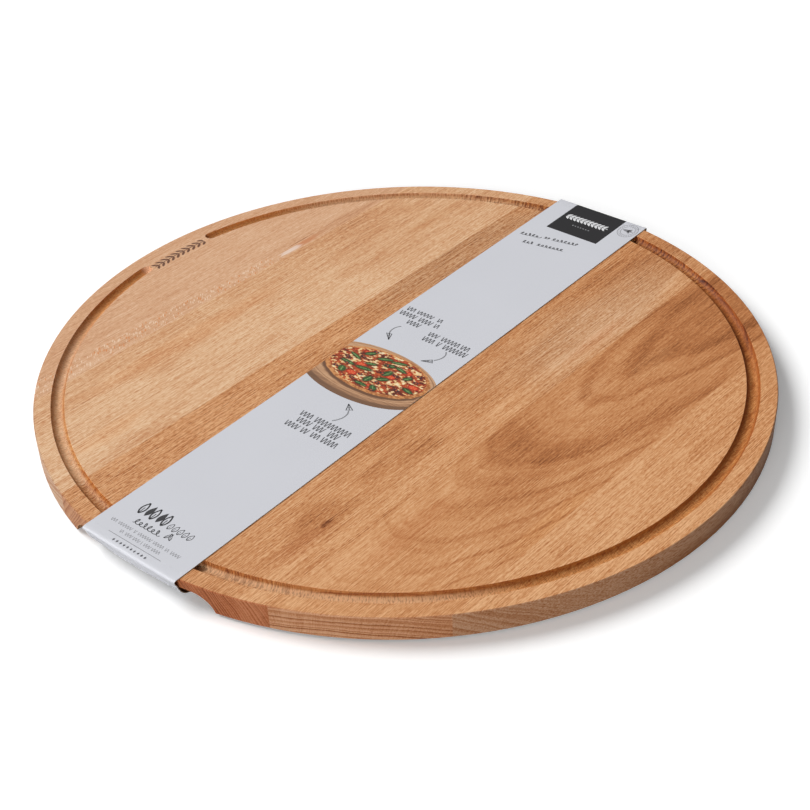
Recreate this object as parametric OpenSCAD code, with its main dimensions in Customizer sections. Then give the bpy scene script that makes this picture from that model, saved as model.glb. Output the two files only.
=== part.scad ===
// Round serving board of edge-glued beech staves, with a juice groove and two finger grips,
// banded by a printed card sleeve that slides off sideways.
// The origin is the middle of the footprint on the table: +X runs from grip to grip,
// +Y points at the bare stretch of the groove, +Z is up.

/* [Board] */
// Diameter of the round board
board_d = 440; // [400:1:480]
// Thickness of the board
board_t = 15; // [13:0.5:20]
// Eased arris round the top and bottom edges
arris = 0.4; // [0.2:0.1:1]

/* [Staves] */
// Angle between the glue lines and the line from grip to grip
stave_turn = 1.72; // [0:0.02:4]
// Place of the middle glue line, from the centre of the board
middle_joint_y = -13; // [-24:0.5:12]
// Width of the second stave from the back
stave_2_w = 80.8; // [70:0.2:95]
// Width of the third stave from the back
stave_3_w = 74.6; // [65:0.2:85]
// Width of the fourth stave from the back
stave_4_w = 74.6; // [65:0.2:85]
// Width of the fifth stave from the back
stave_5_w = 74; // [60:0.2:80]

/* [Juice groove] */
// Flat rim left outside the groove
rim_w = 10; // [6:0.5:16]
// Width of the groove at the top face
groove_w = 8; // [5:0.5:12]
// Depth of the groove
groove_depth = 3; // [1.5:0.1:4]
// Bare stretch between the two ends of the groove
bare_l = 50; // [20:1:120]
// Direction of the bare stretch, turned from +X
bare_angle = 87.7; // [60:0.1:120]

/* [Finger grips] */
// Length of each grip at the underside
grip_l = 106; // [90:1:130]
// Reach of each grip in from the edge of the board
grip_reach = 22; // [16:0.5:30]
// Height of each grip above the underside
grip_h = 9.8; // [6:0.2:11]
// Radius of the round-nosed cutter that hollows the grips
grip_cutter_r = 14.2; // [12:0.2:24]

/* [Card sleeve] */
// Width of the sleeve
sleeve_w = 70; // [40:1:100]
// How far the sleeve sits off centre, towards the bare stretch
sleeve_shift = 2.4; // [-10:0.2:10]
// Thickness of the card
card_t = 0.5; // [0.3:0.05:0.8]
// Clearance from the card to the edge of the board
card_gap = 0.6; // [0.4:0.1:2]
// Bend radius of the folds, at the middle of the card
fold_r = 1.2; // [0.8:0.1:2]
// Overlap of the card's two ends under the board
seam_w = 20; // [12:1:40]
// Run over which the inner end climbs onto the outer end
seam_step = 3; // [2:0.5:8]

/* [Adhesive strip] */
// Thickness of the strip
strip_t = 0.2; // [0.1:0.05:0.4]
// Margin of bare card beside the strip
strip_margin = 1.5; // [0.5:0.5:4]

/* [Hidden] */
$fn = 120;

// How far the cutting shapes run past what they cut
overrun = 5;
// Facets along each fold of the card
fold_steps = 8;

board_r = board_d / 2;
// The board stands on the doubled card of the seam
board_z = 2 * card_t + strip_t;
board_top = board_z + board_t;

// Glue lines, from the back of the board to the front
joint_3 = middle_joint_y;
joint_2 = joint_3 + stave_3_w;
joint_1 = joint_2 + stave_2_w;
joint_4 = joint_3 - stave_4_w;
joint_5 = joint_4 - stave_5_w;

// The groove is cut by a round-nosed cutter sunk to the groove's depth
groove_r = board_r - rim_w - groove_w / 2;
groove_cutter_r = (pow(groove_w / 2, 2) + pow(groove_depth, 2)) / (2 * groove_depth);
groove_cutter_z = board_top - groove_depth + groove_cutter_r;
// The cutter stops short of the bare stretch by half the groove's width
bare_turn = (bare_l + groove_w) / groove_r * 180 / PI;
// How much smaller the round end of the groove is cut than the groove itself
groove_end_step = 0.05;

// Half the width that the grip's cutter leaves at the underside
grip_foot = sqrt(pow(grip_cutter_r, 2) - pow(grip_cutter_r - grip_h, 2));
grip_axis_x = board_r - grip_reach + grip_foot;
grip_axis_y = grip_l / 2 - grip_foot;
grip_axis_z = board_z + grip_h - grip_cutter_r;
grip_run = board_r - grip_axis_x + overrun;

// Middle lines of the card: on the table, over the seam and on top of the board
card_low = card_t / 2;
card_flap = card_t + strip_t + card_t / 2;
card_high = board_top + card_t / 2;
card_end_x = board_r + card_gap + card_t / 2;
// Below the lip of the grip the card turns in, clear of the edge of the board where the
// grip ends, so that the sleeve passes the whole board as it slides off
lip_z = board_z + grip_h - card_gap;
grip_end_x = sqrt(pow(board_r, 2) - pow(grip_l / 2, 2));
card_foot_x = grip_end_x + card_gap;
// Place of the knee between the foot and the lip, across and up
knee_share = 0.5;
knee_rise_share = 0.7;
card_knee_x = card_foot_x + knee_share * (card_end_x - card_foot_x);
card_knee_z = card_low + knee_rise_share * (lip_z - card_low);

strip_l = seam_w - 2 * strip_margin;

// Unit vector along v, and the quarter turn to its left
function along(v) = v / norm(v);
function left_of(v) = [-v[1], v[0]];

// A path's points, each with the direction to its left, the corner at b rounded to radius r
function rounded(a, b, c, r) =
    let (into = along(b - a), out = along(c - b),
        side = sign(cross(into, out)),
        turn = acos(into * out),
        start = b - into * r * tan(turn / 2),
        middle = start + side * left_of(into) * r,
        begin = atan2(-side * left_of(into)[1], -side * left_of(into)[0]))
    [for (i = [0:fold_steps])
        let (angle = begin + side * turn * i / fold_steps, out_from = [cos(angle), sin(angle)])
        [middle + r * out_from, -side * out_from]];

// Both faces of a strip of card that follows a path, as one closed outline
module card_outline(path, r) {
    last = len(path) - 1;
    rails = concat(
        [[path[0], left_of(along(path[1] - path[0]))]],
        [for (i = [1:last - 1]) each rounded(path[i - 1], path[i], path[i + 1], r)],
        [[path[last], left_of(along(path[last] - path[last - 1]))]]);
    count = len(rails);
    polygon(concat(
        [for (i = [0:count - 1]) rails[i][0] + rails[i][1] * card_t / 2],
        [for (i = [count - 1:-1:0]) rails[i][0] - rails[i][1] * card_t / 2]));
}

// Extrudes an outline of X and Z across the sleeve's width
module across_sleeve() {
    translate([0, sleeve_shift + sleeve_w / 2, 0])
        rotate([90, 0, 0])
            linear_extrude(height = sleeve_w) children();
}

// The glued-up blank turned to a disc, its arrises eased
module disc() {
    rotate_extrude()
        polygon([
            [0, board_z],
            [board_r - arris, board_z],
            [board_r, board_z + arris],
            [board_r, board_top - arris],
            [board_r - arris, board_top],
            [0, board_top]]);
}

// A quarter of a round-nosed cutter's outline, its nose up
module nose(r) {
    intersection() {
        circle(r = r);
        square(r);
    }
}

// The groove, half a disc carried round the board, with a ball's half sunk at each of its ends
module groove_cut() {
    rotate([0, 0, bare_angle + bare_turn / 2])
        translate([0, 0, groove_cutter_z])
            mirror([0, 0, 1]) {
                rotate_extrude(angle = 360 - bare_turn)
                    translate([groove_r, 0]) {
                        nose(groove_cutter_r);
                        mirror([1, 0]) nose(groove_cutter_r);
                    }
                for (groove_end = [0, -bare_turn])
                    rotate([0, 0, groove_end])
                        translate([groove_r, 0, 0])
                            rotate_extrude() nose(groove_cutter_r - groove_end_step);
            }
}

// One finger grip, hollowed from below by a round-nosed cutter that works in from the edge
module grip_cut() {
    translate([grip_axis_x, 0, grip_axis_z]) {
        translate([0, -grip_axis_y, 0]) cube([grip_run, 2 * grip_axis_y, grip_cutter_r]);
        rotate([90, 0, 180])
            translate([0, 0, -grip_axis_y])
                linear_extrude(height = 2 * grip_axis_y) nose(grip_cutter_r);
        for (side = [0, 1])
            mirror([0, side, 0])
                translate([0, grip_axis_y, 0]) {
                    rotate([90, 0, 90]) linear_extrude(height = grip_run) nose(grip_cutter_r);
                    rotate([0, 0, 90]) rotate_extrude(angle = 90) nose(grip_cutter_r);
                }
    }
}

// One stave of the disc, from one glue line to the next
module stave(from_y, to_y, tint) {
    color(tint) intersection() {
        difference() {
            disc();
            groove_cut();
            grip_cut();
            rotate([0, 0, 180]) grip_cut();
        }
        rotate([0, 0, -stave_turn])
            translate([-board_d, from_y, board_z - overrun])
                cube([2 * board_d, to_y - from_y, board_t + 2 * overrun]);
    }
}

// A strip of card folded round the board, its inner end lapped over its outer end
module card_sleeve() {
    color("#d2d3d9") across_sleeve() card_outline([
        [-seam_w / 2, card_low],
        [card_foot_x, card_low],
        [card_knee_x, card_knee_z],
        [card_end_x, lip_z],
        [card_end_x, card_high],
        [-card_end_x, card_high],
        [-card_end_x, lip_z],
        [-card_knee_x, card_knee_z],
        [-card_foot_x, card_low],
        [-seam_w / 2 - seam_step - card_t, card_low],
        [-seam_w / 2 - card_t, card_flap],
        [seam_w / 2, card_flap]], fold_r);
}

// Double-sided adhesive strip that holds the lapped ends together
module seam_adhesive_strip() {
    color("#e9dfc4") across_sleeve()
        translate([-strip_l / 2, card_t]) square([strip_l, strip_t]);
}

stave(joint_1, board_r + overrun, "#d9a071");  // stave_1
stave(joint_2, joint_1, "#d18f58");  // stave_2
stave(joint_3, joint_2, "#cf9161");  // stave_3
stave(joint_4, joint_3, "#c98655");  // stave_4
stave(joint_5, joint_4, "#c08050");  // stave_5
stave(-board_r - overrun, joint_5, "#d79b64");  // stave_6
card_sleeve();
seam_adhesive_strip();
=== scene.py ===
"""Looks for the round beech serving board and its card sleeve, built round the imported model."""
import math

import bpy
import numpy as np
from mathutils import Matrix, Vector


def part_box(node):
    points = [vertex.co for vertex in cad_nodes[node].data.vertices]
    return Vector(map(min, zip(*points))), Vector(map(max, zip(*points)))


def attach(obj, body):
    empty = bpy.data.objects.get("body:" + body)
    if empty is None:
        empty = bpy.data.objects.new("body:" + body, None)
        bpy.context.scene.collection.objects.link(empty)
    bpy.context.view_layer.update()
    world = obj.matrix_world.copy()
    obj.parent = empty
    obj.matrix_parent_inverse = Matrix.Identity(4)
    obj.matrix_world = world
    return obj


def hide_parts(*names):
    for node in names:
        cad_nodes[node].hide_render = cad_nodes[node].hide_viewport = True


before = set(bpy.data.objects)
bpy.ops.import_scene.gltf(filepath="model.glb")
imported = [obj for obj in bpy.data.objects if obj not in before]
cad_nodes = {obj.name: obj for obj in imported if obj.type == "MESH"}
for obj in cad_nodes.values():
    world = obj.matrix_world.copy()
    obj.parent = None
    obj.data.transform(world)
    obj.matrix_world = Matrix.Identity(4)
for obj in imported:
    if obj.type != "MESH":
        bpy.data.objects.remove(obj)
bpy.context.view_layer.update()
MM = 0.001

# Board staves. Six staves of steamed beech are planed, glued edge to edge, turned to a disc with a
# juice groove, and oiled. Each comes from another plank, so each has its own heart, rings and tone.
# An ear of leaves is burned in where the groove breaks off.

board_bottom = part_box("stave_1")[0].z / MM
board_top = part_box("stave_1")[1].z / MM
board_radius = 220.0
glue_line_turn = 1.72
plank_offset = 613.0

# size along the grain and across it in mm, then detail and roughness, of each part of the figure
hairlines = (28, 0.62, 1.0, 0.5)
fibres = (3.4, 0.56, 2.0, 0.6)
streaks = (150, 7, 1.5, 0.5)
blotches = (70, 22, 3.0, 0.5)
# sizes in mm of the heart's wander, and of the pores, rays and flares in three directions
heart_wander = (130, 38)
wander_across, wander_up = 9.0, 5.0
pore_size = (6.0, 0.95, 0.95)
ray_size = (3.0, 0.5, 14.0)
flare_size = (1.5, 3.4, 3.0)
# how far the figure frays the outlines of clouds and bands
fray_x, fray_y = 16.0, 10.0

# zones of the turned board: each fades in from the first value to the second, in mm
skin_depth = (6, 2)
rim_radius = (209.5, 211)
edge_radius = (board_radius - 0.9, board_radius - 0.3)

# zones of the groove, likewise: depths, places outwards from the groove's middle line, places on
# the board, and degrees to either side of a direction
groove_radius = 206.0
groove_edge, groove_arris, groove_floor = (4.4, 4.0), (0.05, 0.25), (3.8, 3.3)
steep_depth = (2.9, 1.3)
spared_out, rough_out, inner_out = (-3.4, -1.8), (-3.2, -1.8), (-1.2, -2.8)
fur_middle, fur_band = -1.0, (2.2, 1.0)
torn_middle, torn_band = 3.8, (0.9, 0.4)
left_x, left_y = (-110, -160), (20, -20)
back_y, back_x, back_out = (50, 90), (-20, 20), (-1.6, 0.4)
front_y, right_x, torn_x = (0, -50), (-50, 60), (80, 120)
bare_middle, beside_bare = 88.05, (36, 20)
chatter_right, chatter_left = (-3, (36, 26)), (-166, (16, 8))
scrape_size = (2.4, 0.8)
chatter_size = (8.0, 1.8)

# the burned ear, at the bare stretch of the groove
run_out_x, run_out_end_x = (-24, -19.5), (10, 0)
ear_radius = 203.0
ear_half_l = 22.0
stem_half_w = 0.4
leaf_pitch = 4.6
leaf_off = 2.1
leaf_half_l = 2.75
leaf_half_w = 0.95
leaf_slant = math.radians(38)


def to_light(screen):
    """Screen values from 0 to 255 as the linear values that a shader reads: the sRGB curve."""
    c = np.asarray(screen) / 255
    return np.where(c <= 0.04045, c / 12.92, ((c + 0.055) / 1.055) ** 2.4)


def linear(*screen):
    """A colour written as three screen values, as a shader's colour."""
    return (*to_light(screen).tolist(), 1.0)


def blank_material(name):
    """A new material with an empty node tree, and that tree."""
    made = bpy.data.materials.new(name)
    made.use_nodes = True
    made.node_tree.nodes.clear()
    return made, made.node_tree


def node(tree, kind, feeds=None, **settings):
    """Adds a shader node, sets it, and feeds its inputs with numbers or other nodes' outputs."""
    made = tree.nodes.new("ShaderNode" + kind)
    for key, value in settings.items():
        setattr(made, key, value)
    for key, value in (feeds or {}).items():
        if isinstance(value, bpy.types.NodeSocket):
            tree.links.new(value, made.inputs[key])
        else:
            made.inputs[key].default_value = value
    return made


def calc(tree, operation, *values, clamp=False):
    """One Math node's result."""
    feeds = dict(enumerate(values))
    return node(tree, "Math", feeds, operation=operation, use_clamp=clamp).outputs[0]


def times(tree, *factors):
    """The product of its factors."""
    product = factors[0]
    for factor in factors[1:]:
        product = calc(tree, "MULTIPLY", product, factor)
    return product


def off(tree, value, middle):
    """How far a value is from a middle, to either side."""
    return calc(tree, "ABSOLUTE", calc(tree, "SUBTRACT", value, middle))


def distance(tree, a, b):
    """The length of a line that goes a one way and b at right angles to it."""
    return calc(tree, "SQRT", calc(tree, "ADD", calc(tree, "POWER", a, 2.0),
                                   calc(tree, "POWER", b, 2.0)))


def fade(tree, value, low, high, at_low=0.0, at_high=1.0):
    """A smooth step that is at_low where value is low and at_high where it is high."""
    return node(tree, "MapRange", {"Value": value, "From Min": low, "From Max": high,
                                   "To Min": at_low, "To Max": at_high},
                interpolation_type="SMOOTHSTEP").outputs["Result"]


def vector(tree, x, y, z):
    """Three values joined to a vector."""
    return node(tree, "CombineXYZ", {0: x, 1: y, 2: z}).outputs[0]


def split(tree, joined):
    """The three values of a vector."""
    return node(tree, "SeparateXYZ", {0: joined}).outputs[:]


def measured(tree, values, sizes):
    """Three values as a vector, each counted in its own size."""
    return vector(tree, *(calc(tree, "DIVIDE", value, size) for value, size in zip(values, sizes)))


def in_mm(tree, place, turn=0.0):
    """A place in metres as millimetres, turned about the upright axis by some degrees."""
    return node(tree, "Mapping", {"Vector": place, "Rotation": (0, 0, math.radians(turn)),
                                  "Scale": (1 / MM,) * 3}).outputs[0]


def stretched(tree, place, long, wide):
    """A place counted in one size along the grain and another across it."""
    scale = (1 / long, 1 / wide, 1 / wide)
    return node(tree, "Mapping", {"Vector": place, "Scale": scale}).outputs[0]


def grainy(tree, where, scale=1.0, detail=2.0, rough=0.5):
    """Noise from -0.5 to 0.5 at a vector, or along a single value."""
    single = where.type == "VALUE"
    return calc(tree, "SUBTRACT", node(
        tree, "TexNoise", {"W" if single else "Vector": where, "Scale": scale, "Detail": detail,
                           "Roughness": rough},
        noise_dimensions="1D" if single else "3D").outputs["Fac"], 0.5)


def lay(tree, colour, amount, other, blend="MIX"):
    """A colour with another laid over it, or multiplied in, by an amount from 0 to 1."""
    return node(tree, "MixRGB", {"Fac": amount, "Color1": colour, "Color2": other},
                blend_type=blend).outputs[0]


def surface(tree, feeds):
    """Ends a tree with one plain surface."""
    shader = node(tree, "BsdfPrincipled", feeds)
    node(tree, "OutputMaterial", {"Surface": shader.outputs[0]})


def from_heart(tree, x, y, z, shifted, heart, lean):
    """Where a point lies from the plank's heart: how far across, how far straight, and at what
    angle. The heart runs along the grain, leans, sags as a parabola does and wanders with noise."""
    bend = node(tree, "TexNoise", {"Vector": stretched(tree, shifted, *heart_wander), "Scale": 1.0,
                                   "Detail": 2.0, "Roughness": 0.45})
    wander = split(tree, node(tree, "VectorMath", {0: bend.outputs["Color"], 1: (-0.5, -0.5, -0.5)},
                              operation="ADD").outputs[0])
    rise = calc(tree, "MULTIPLY_ADD", x, lean[2], lean[1])
    across = calc(tree, "SUBTRACT", calc(tree, "MULTIPLY_ADD", wander[0], wander_across, y),
                  calc(tree, "MULTIPLY_ADD", x, lean[0], heart[0]))
    up = calc(tree, "SUBTRACT", calc(tree, "MULTIPLY_ADD", wander[1], wander_up, z),
              calc(tree, "MULTIPLY_ADD", x, rise, heart[1]))
    return across, distance(tree, across, up), calc(tree, "ARCTAN2", up, across)


def year_rings(tree, radius, ring_mm):
    """Yearly rings, some wider than others, each darkest just before the next begins."""
    years = calc(tree, "MULTIPLY_ADD", grainy(tree, calc(tree, "DIVIDE", radius, ring_mm * 3)), 3.0,
                 calc(tree, "DIVIDE", radius, ring_mm))
    late = fade(tree, calc(tree, "FRACT", years), 0.25, 0.95)
    year_tone = node(tree, "TexWhiteNoise", {"W": calc(tree, "FLOOR", years)},
                     noise_dimensions="1D").outputs["Value"]
    return times(tree, late, calc(tree, "MULTIPLY_ADD", year_tone, 0.6, 0.45))


def cells(tree, at):
    """Scattered cells: how far a point is from its cell's middle, and one random value per cell."""
    found = node(tree, "TexVoronoi", {"Vector": at, "Scale": 1.0})
    return found.outputs["Distance"], split(tree, found.outputs["Color"])[0]


def pores(tree, place, shifted):
    """Short dark ticks along the grain: long narrow cells, each dark at its middle where its draw
    is high, moved about by noise."""
    jitter = node(tree, "TexNoise", {"Vector": shifted, "Scale": 0.25, "Detail": 1.0})
    off_middle, draw = cells(tree, node(tree, "VectorMath", {
        0: measured(tree, place, pore_size), 1: jitter.outputs["Color"]}, operation="ADD").outputs[0])
    return times(tree, fade(tree, off_middle, 0.1, 0.5, 1.0, 0.0), fade(tree, draw, 0.4, 0.9))


def tone_ramp(tree, tone, tones):
    """Four tones from dark to light, blended along a value from 0 to 1."""
    ramp = node(tree, "ValToRGB", {0: tone})
    stops = ramp.color_ramp.elements
    stops[0].position, stops[0].color = 0.0, linear(*tones[0])
    stops[1].position, stops[1].color = 1.0, linear(*tones[3])
    for spot, screen in ((0.4, tones[1]), (0.7, tones[2])):
        stops.new(spot).color = linear(*screen)
    return ramp.outputs[0]


def flare(tree, colour, x, y, z, rough_y, flare_y):
    """Rays cut along their length flash as pale and orange flecks, in one band that ends in a fade."""
    slanted_y = calc(tree, "MULTIPLY_ADD", x, 0.035, rough_y)
    slanted_x = calc(tree, "MULTIPLY_ADD", y, -0.7, x)
    off_middle, draw = cells(tree, measured(tree, (slanted_x, y, z), flare_size))
    fleck = times(tree, fade(tree, off_middle, 0.2, 0.5, 1.0, 0.0),
                  fade(tree, off(tree, slanted_y, flare_y), 3.5, 7.0, 1.0, 0.0),
                  fade(tree, x, 26.0, 46.0, 1.0, 0.0))
    for sure_draw, screen in ((0.45, (233, 201, 171)), (0.24, (212, 138, 84))):
        amount = times(tree, fleck, fade(tree, draw, 0.3, sure_draw))
        colour = lay(tree, colour, amount, linear(*screen))
    return colour


def board_place(tree, place):
    """A place on the turned board, in mm: x, y, depth under the top face, distance from the
    board's middle, and the angle round it."""
    x, y, z = split(tree, in_mm(tree, place))
    return (x, y, calc(tree, "SUBTRACT", board_top, z), distance(tree, x, y),
            calc(tree, "ARCTAN2", y, x))


def groove_look(tree, colour, spot):
    """The groove's colour, where the groove is, and its torn fibres' height. The steep sides are
    darker, partly where the cutter burnished them and partly as painted warm shade; the front,
    its inner wall and its right carry painted warm shade, as they face away from the lamp. At the
    left, where the cutter ran against the grain, the floor is furry and pale. At the back it is
    scraped pale, less so near the bare stretch, and there the pale scrapes also stand in for light
    on the floor as painted light; a dark torn line runs along the outer wall at the right. The
    cutter's chatter crosses the groove at the right and at the far left."""
    x, y, depth, radius, angle = spot
    out = calc(tree, "SUBTRACT", radius, groove_radius)
    run = times(tree, angle, groove_radius)
    turn = calc(tree, "DEGREES", angle)
    cut = times(tree, fade(tree, off(tree, out, 0.0), *groove_edge), fade(tree, depth, *groove_arris),
                fade(tree, depth, *groove_floor))
    furry = times(tree, cut, fade(tree, x, *left_x), fade(tree, y, *left_y))
    by_ends = times(tree, cut, fade(tree, off(tree, turn, bare_middle), *beside_bare))
    back = times(tree, cut, fade(tree, y, *back_y),
                 calc(tree, "MAXIMUM", fade(tree, x, *back_x), fade(tree, out, *back_out)),
                 calc(tree, "MULTIPLY_ADD", by_ends, -0.7, 1.0))
    front = times(tree, cut, fade(tree, y, *front_y))

    # what keeps only a share of its colour: steep sides, partly burnished and partly painted warm
    # shade; painted warm shade on the front, its inner wall and its right; the stretches beside the
    # groove's ends; and the torn line
    spared = calc(tree, "MULTIPLY_ADD", furry, fade(tree, out, *spared_out, 0.0, -0.7),
                  times(tree, back, -0.3))
    # steep sides: darker wood where the cutter burnished it, and painted warm shade
    burnish_and_shade = times(tree, calc(tree, "ADD", cut, spared), fade(tree, depth, *steep_depth, 0.3, 1.0))
    # painted warm shade over the groove's front, which faces away from the lamp
    front_warm_shade = times(tree, front, calc(tree, "MULTIPLY_ADD", furry, -0.9, 0.9))
    # painted shade on the front's inner wall, which faces away from the lamp
    inner = times(tree, front, fade(tree, out, *inner_out, 0.0, 0.6),
                  calc(tree, "MULTIPLY_ADD", furry, -0.9, 1.0))
    # painted warm shade over the groove's front towards the right
    right = times(tree, front, fade(tree, x, *right_x, 0.0, 0.5))
    torn = times(tree, back, fade(tree, x, *torn_x, 0.0, 0.8),
                 fade(tree, off(tree, out, torn_middle), *torn_band))
    for amount, kept in ((burnish_and_shade, (216, 186, 142)), (front_warm_shade, (252, 236, 200)), (inner, (206, 198, 188)),
                         (right, (218, 202, 178)), (by_ends, (252, 222, 166)), (torn, (200, 166, 128))):
        colour = lay(tree, colour, amount, linear(*kept), "MULTIPLY")

    # what lies over it: pale fur, pale scrapes on the rough floor, dark scrapes between them
    scrape = grainy(tree, vector(tree, calc(tree, "DIVIDE", radius, scrape_size[0]),
                                 calc(tree, "DIVIDE", run, scrape_size[1]), 0.0), detail=3.0, rough=0.6)
    fur = times(tree, furry, fade(tree, off(tree, out, fur_middle), *fur_band, 0.0, 0.5))
    # at the back the pale scrapes also stand in for light on the groove's floor, as painted light; at
    # the left they pale the furry floor
    pale = times(tree, calc(tree, "MULTIPLY_ADD", back, 0.9, furry), fade(tree, out, *rough_out),
                 fade(tree, scrape, -0.1, 0.14, 0.1, 0.6))
    dark = times(tree, cut, fade(tree, scrape, 0.02, -0.16, 0.0, 0.5), calc(
        tree, "MULTIPLY_ADD", back, -0.5, calc(tree, "MULTIPLY_ADD", by_ends, -0.6, 1.0)))
    for amount, screen in ((fur, (244, 194, 148)), (pale, (234, 184, 138)), (dark, (122, 66, 28))):
        colour = lay(tree, colour, amount, linear(*screen))

    # chatter marks, across the run of the groove
    chatter = grainy(tree, vector(tree, calc(tree, "DIVIDE", radius, chatter_size[0]),
                                  calc(tree, "DIVIDE", run, chatter_size[1]), 5.0), detail=1.0)
    (right_turn, right_span), (left_turn, left_span) = chatter_right, chatter_left
    chattered = times(tree, cut, fade(tree, chatter, 0.04, -0.12, 0.0, 0.85), calc(
        tree, "ADD", fade(tree, off(tree, turn, right_turn), *right_span),
        fade(tree, off(tree, turn, left_turn), *left_span, 0.0, 0.5)))
    colour = lay(tree, colour, chattered, linear(176, 150, 126), "MULTIPLY")
    return colour, cut, times(tree, furry, scrape)


def burned_ear(tree, colour, spot, cut):
    """The pale run-out of the groove's left end, and the ear burned beside it: a stem along the
    groove's course with a leaf to either side at every pitch, each leaf a slanting ellipse."""
    x, _, depth, radius, angle = spot
    run_out = times(tree, cut, fade(tree, x, *run_out_x), fade(tree, x, *run_out_end_x))
    colour = lay(tree, colour, times(tree, run_out, 0.6), linear(222, 176, 144))
    run = times(tree, calc(tree, "SUBTRACT", angle, math.radians(bare_middle)), ear_radius)
    off_stem = off(tree, radius, ear_radius)
    step = calc(tree, "SUBTRACT", calc(tree, "FLOORED_MODULO", run, leaf_pitch), leaf_pitch / 2)
    rise = calc(tree, "SUBTRACT", off_stem, leaf_off)
    c, s = math.cos(leaf_slant), math.sin(leaf_slant)
    along = calc(tree, "MULTIPLY_ADD", step, c, times(tree, rise, s))
    aside = calc(tree, "MULTIPLY_ADD", step, -s, times(tree, rise, c))
    off_leaf = distance(tree, calc(tree, "DIVIDE", along, leaf_half_l),
                        calc(tree, "DIVIDE", aside, leaf_half_w))
    burned = calc(tree, "MAXIMUM", fade(tree, off_leaf, 0.8, 1.15, 1.0, 0.0),
                  fade(tree, off_stem, stem_half_w - 0.14, stem_half_w + 0.1, 1.0, 0.0))
    burned = times(tree, burned, fade(tree, depth, 0.3, 0.1), fade(
        tree, off(tree, run, 0.0), ear_half_l - 0.2, ear_half_l + 0.4, 1.0, 0.0))
    return lay(tree, colour, times(tree, burned, 0.88), linear(84, 50, 40))


def turned_edge(tree, colour, spot, x, wall, foot):
    """The turned edge of the board, darker than its top as painted shade and on most staves greyer as
    painted sheen, with painted shade low down where it meets the table.
    """
    _, _, depth, radius, _ = spot
    on_wall = fade(tree, radius, *edge_radius)
    # painted shade and sheen: the edge keeps less of its colour than the top, and is greyer on most
    # staves
    colour = lay(tree, colour, on_wall, linear(*wall), "MULTIPLY")
    # painted shade low on the edge, where it meets the table
    if foot:
        from_x, to_x, foot_h, *kept = foot
        board_t = board_top - board_bottom
        low = times(tree, on_wall, fade(tree, x, from_x, to_x),
                    fade(tree, depth, board_t - foot_h, board_t, 0.0, 1.0))
        colour = lay(tree, colour, low, linear(*kept), "MULTIPLY")
    return colour


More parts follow.
